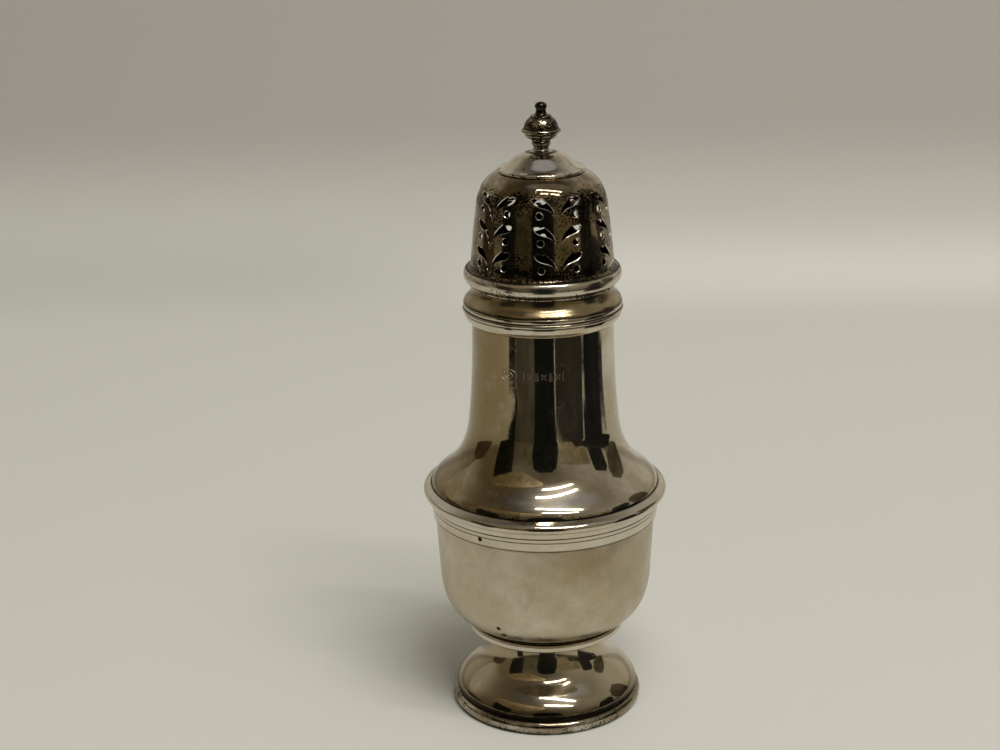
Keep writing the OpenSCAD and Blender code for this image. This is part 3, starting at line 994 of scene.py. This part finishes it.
nut.data.materials.append(Silver("nut_silver").tone(0.8).haze(0.2, 0.2).done())


# Camera, at the place and tilt measured in the photograph

CAMERA_PLACE = Vector((0, -0.4512, 0.2403))
CAMERA_YAW = math.radians(-1.4544)
CAMERA_PITCH = math.radians(18.0948)
CAMERA_ROLL = math.radians(1.0107)
CAMERA_LENS = 64.8


def make_camera():
    level = math.cos(CAMERA_PITCH)
    ahead = Vector((math.sin(CAMERA_YAW) * level, math.cos(CAMERA_YAW) * level, -math.sin(CAMERA_PITCH)))
    right = Vector((math.cos(CAMERA_YAW), -math.sin(CAMERA_YAW), 0))
    down = ahead.cross(right)
    rolled = right * math.cos(CAMERA_ROLL) + down * math.sin(CAMERA_ROLL)
    up = -(down * math.cos(CAMERA_ROLL) - right * math.sin(CAMERA_ROLL))
    data = bpy.data.cameras.new("camera")
    data.sensor_width = 36
    data.lens = CAMERA_LENS
    data.clip_start = 0.01
    made = bpy.data.objects.new("camera", data)
    made.matrix_world = Matrix.Translation(CAMERA_PLACE) @ Matrix((rolled, up, -ahead)).transposed().to_4x4()
    bpy.context.collection.objects.link(made)
    bpy.context.scene.camera = made


make_camera()


# Stage: a pale sweep, dark screens in front for the silver to show, and lamps

SWEEP_HALF_W = 20.0
SWEEP_FRONT = -5.0
SWEEP_BEND = 0.42
SWEEP_RADIUS = 0.55
SWEEP_TOP = 0.62
BAND_PLACE = 0.45
BEND_STEPS = 24
TABLE_TINTS = colour(0.675, 0.672, 0.615), colour(0.705, 0.702, 0.643)
FAR_TABLE = colour(0.76, 0.755, 0.70)
LIT_BAND = colour(0.88, 0.873, 0.815)
DIM_BAND = colour(0.55, 0.545, 0.50)
WALL = colour(0.495, 0.478, 0.435)
WALL_TOP = colour(0.78, 0.76, 0.70)


def make_sweep():
    bm = bmesh.new()
    bend = [(SWEEP_BEND + SWEEP_RADIUS * math.sin(a), SWEEP_RADIUS * (1 - math.cos(a)))
            for a in [math.pi / 2 * i / BEND_STEPS for i in range(BEND_STEPS + 1)]]
    side = [(SWEEP_FRONT, 0)] + bend + [(SWEEP_BEND + SWEEP_RADIUS, SWEEP_TOP)]
    verts = [bm.verts.new((-SWEEP_HALF_W, y, z)) for y, z in side]
    edges = [bm.edges.new(pair) for pair in zip(verts, verts[1:])]
    made = bmesh.ops.extrude_edge_only(bm, edges=edges)
    moved = [v for v in made["geom"] if isinstance(v, bmesh.types.BMVert)]
    bmesh.ops.translate(bm, vec=(2 * SWEEP_HALF_W, 0, 0), verts=moved)
    sweep = make_object("sweep", bm)
    finish = Finish("pale_table")
    across, away, up = finish.split(finish.place)
    mottle = finish.noise(3, 3)
    paint = finish.blend(mottle, *TABLE_TINTS)
    # Painted light and shade: a band across the table at BAND_PLACE, painted paler on the right and a little
    # darker on the left. The table also grows paler towards the back.
    band = 1 - abs(away - BAND_PLACE).ramp(0.0, 0.1)
    lit = across.ramp(-0.15, 0.06)
    paint = finish.blend(away.ramp(0.05, 0.4) * 0.5, paint, FAR_TABLE)
    paint = finish.blend(band * lit, paint, LIT_BAND)
    paint = finish.blend(band * (1 - lit) * 0.3, paint, DIM_BAND)
    paint = finish.blend(up.ramp(-0.004, 0.05), paint, WALL)
    paint = finish.blend(up.ramp(0.1, 0.25), paint, WALL_TOP)
    finish.feed(finish.shader, {"Base Color": paint, "Roughness": 0.6})
    sweep.data.materials.append(finish.material)


make_sweep()


SCREEN_DISTANCE = 700
MAT_LIFT = 1
# Painted light: the upright screens get less light than the mat on the floor, so their paint is made this
# many times paler to look as dark as the mat.
SCREEN_GAIN = 2.2


def room_point(degrees, reach):
    """A point round from the front: out along the floor to the screens, then up them."""
    angle = math.radians(degrees)
    out = min(reach, SCREEN_DISTANCE)
    up = max(reach - SCREEN_DISTANCE, 0) + MAT_LIFT
    return Vector((out * math.sin(angle), -out * math.cos(angle), up)) * MM


def dark_card(name, tint, rows):
    """A dark cloth seen in the silver alone, in rows of (reach, left edge, right edge)."""
    bm = bmesh.new()
    last = None
    for reach, left, right in rows:
        pair = [bm.verts.new(room_point(side, reach)) for side in (left, right)]
        if last:
            face = bm.faces.new(last + pair[::-1])
            face.material_index = int(reach > SCREEN_DISTANCE)
        last = pair
    card = make_object(name, bm)
    # Two copies of the cloth: the screen copy is painted paler to make up for the weaker light it gets.
    for place, gain in (("_mat", 1.0), ("_screen", SCREEN_GAIN)):
        finish = Finish(name + place)
        cloth = finish.noise(9, 4).ramp(0.3, 0.7)
        shades = [colour(*[c * gain * depth for c in tint]) for depth in (0.7, 1.3)]
        paint = finish.blend(cloth, *shades)
        finish.feed(finish.shader, {"Base Color": paint, "Roughness": 0.9, "Specular IOR Level": 0.0})
        card.data.materials.append(finish.material)
    for ray in ("camera", "diffuse", "shadow", "transmission", "volume_scatter"):
        setattr(card, "visible_" + ray, False)


dark_card("dark_left", (0.009, 0.010, 0.010), [
    (165, -58, -46), (340, -56, -45), (396, -55, -44.5), (406, -48, -42), (425, -43, -39),
    (450, -46, -39.5), (490, -52, -42), (560, -59, -43.7), (700, -66, -43.7), (884, -70, -43.7),
    (1230, -75, -46.8), (1300, -71, -58)])
dark_card("grey_left", (0.075, 0.068, 0.050), [
    (340, -46, -13.7), (386, -45, -13.7), (402, -42, -13.7), (432, -38, -13.7), (470, -41.5, -13.7),
    (497, -43.5, -13.7), (700, -43.7, -15), (884, -43.7, -17), (1000, -44, -18)])
dark_card("dark_middle", (0.008, 0.009, 0.008), [
    (165, -13.7, 17.2), (432, -13.7, 16.8), (600, -14.5, 18), (700, -15, 20.5), (884, -17, 19),
    (1080, -15, 16), (1160, -8, 10)])
dark_card("grey_line", (0.07, 0.07, 0.06), [(300, 17.2, 19), (600, 18, 19.6)])
dark_card("brown_right", (0.03, 0.028, 0.025), [
    (320, 19, 62.4), (386, 19, 62.4), (452, 19, 61), (520, 19.4, 60), (560, 22, 59), (620, 31, 58),
    (700, 40, 57), (760, 46, 55)])
dark_card("tan_right", (0.20, 0.18, 0.135), [
    (520, 19.2, 19.4), (560, 19.5, 22), (620, 20, 31), (700, 21, 40), (760, 21, 46), (780, 21, 62),
    (980, 20, 66)])
dark_card("tan_left", (0.19, 0.16, 0.11), [
    (1130, -50, -30), (1230, -76, -22), (1340, -84, -14), (1440, -80, -8), (1560, -62, -2), (1680, -40, -4)])
dark_card("dark_right", (0.016, 0.017, 0.019), [
    (165, 62.4, 100), (372, 62.4, 106), (382, 62.4, 99), (388, 68, 97), (394, 63, 96), (402, 67, 95),
    (410, 63, 95), (452, 61.2, 98), (464, 62, 112), (600, 60, 110), (700, 57, 108), (750, 55, 105),
    (784, 64, 88), (1000, 70, 93), (1100, 74, 91)])
dark_card("grey_right", (0.06, 0.055, 0.042), [
    (706, 109, 121), (830, 95, 120), (1050, 95, 119), (1200, 102, 114)])
dark_card("brown_left", (0.055, 0.042, 0.03), [(706, -111, -80), (800, -112, -86), (880, -106, -94)])


LAMP_TINT = (1.0, 0.98, 0.95)


def make_lamp(name, place, turn, size, power):
    """A lamp that faces the table, its long side turned from the picture's width."""
    data = bpy.data.lights.new(name, "AREA")
    data.shape = "RECTANGLE"
    data.size, data.size_y = size
    data.energy = power
    data.color = LAMP_TINT
    made = bpy.data.objects.new(name, data)
    back = Vector(place).normalized()
    along = Vector((math.cos(math.radians(turn)), math.sin(math.radians(turn)), 0))
    along = (along - back * along.dot(back)).normalized()
    axes = Matrix((along, back.cross(along), back)).transposed()
    made.matrix_world = Matrix.Translation(place) @ axes.to_4x4()
    bpy.context.collection.objects.link(made)
    return made


make_lamp("near_strip", (0.28, -0.46, 1.5), -8, (0.9, 0.045), 6)
make_lamp("far_strip", (0.36, -0.86, 1.5), -6, (0.85, 0.045), 6)
soft_box = make_lamp("soft_box", (0.8, -1.0, 2.3), 0, (1.5, 1.5), 18.7)
soft_box.visible_glossy = False


ROOM = colour(0.125, 0.105, 0.075)
ROOM_RIGHT = colour(0.34, 0.32, 0.27)
ROOM_LEFT = colour(0.19, 0.165, 0.115)
ROOM_BEHIND = colour(0.44, 0.42, 0.37)
DARK_RING = colour(0.11, 0.105, 0.098)
PALE_PANEL = colour(0.34, 0.35, 0.375)
PANEL_ASIDE = 0.12
PANEL_STRETCH = 0.25


def make_world():
    """A dim brown room, lighter to the right and behind, with a pale panel overhead in a dark ring."""
    world = bpy.data.worlds.new("room")
    bpy.context.scene.world = world
    world.use_nodes = True
    room = Nodes(world.node_tree, "Generated")
    across, away, up = room.split(room.place)
    right = (across * 0.8 + room.noise(2.2, 4) * 0.5).ramp(0.25, 1.0)
    behind = (away + room.noise(1.7, 3) * 0.4).ramp(0.15, 0.6) * (1 - up.ramp(0.55, 0.9))
    left = (across * -0.8 + room.noise(2.6, 4) * 0.4).ramp(0.5, 1.0)
    paint = room.blend(right, ROOM, ROOM_RIGHT)
    paint = room.blend(left, paint, ROOM_LEFT)
    paint = room.blend(behind, paint, ROOM_BEHIND)
    paint = room.blend(up.ramp(0.84, 0.93), paint, DARK_RING)
    aside = across - PANEL_ASIDE
    panel = (aside * aside * PANEL_STRETCH + away * away).ramp(0.06, 0.03) * up.ramp(0.0, 0.1)
    paint = room.blend(panel, paint, PALE_PANEL)
    room.feed(world.node_tree.nodes["Background"], {"Color": paint})


make_world()
bpy.context.scene.view_settings.view_transform = "Standard"
